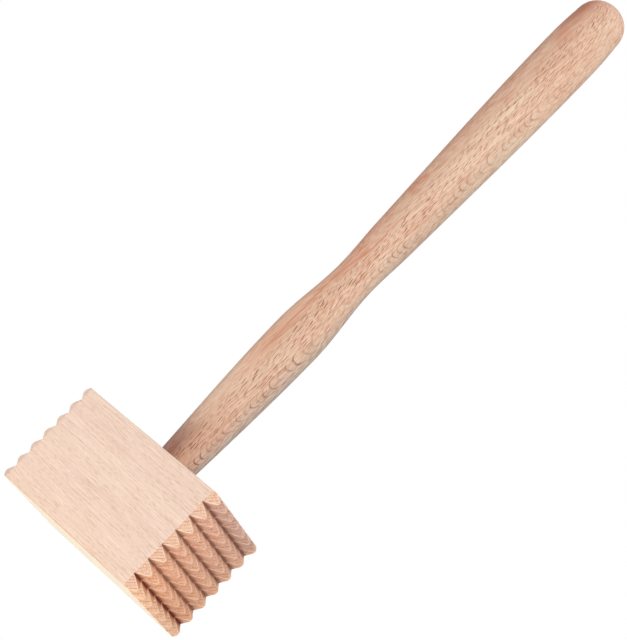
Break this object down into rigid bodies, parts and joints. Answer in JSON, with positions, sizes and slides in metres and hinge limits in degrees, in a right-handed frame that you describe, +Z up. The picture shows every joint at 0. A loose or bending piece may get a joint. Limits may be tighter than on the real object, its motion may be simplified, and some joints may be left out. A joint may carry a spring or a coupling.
{
  "type": "wooden meat mallet",
  "caption": "Beech kitchen mallet with a block head, pyramid teeth on both striking ends and a turned handle whose tenon is glued into the head; for tenderising meat.",
  "frame": {"origin": "centre of the underside of the head, where the mallet stands", "axes": "+Z up along the handle, X along the blow from one toothed end to the other, Y across the width of the head"},
  "size_m": [0.085, 0.0524, 0.332],
  "materials": {
    "head_wood": "bare sanded beech, pale, with end grain on the teeth",
    "handle_wood": "bare turned and sanded beech, pinkish tan"
  },
  "bodies": {
    "root": {"head": "head_wood", "handle": "handle_wood"}
  },
  "joints": []
}
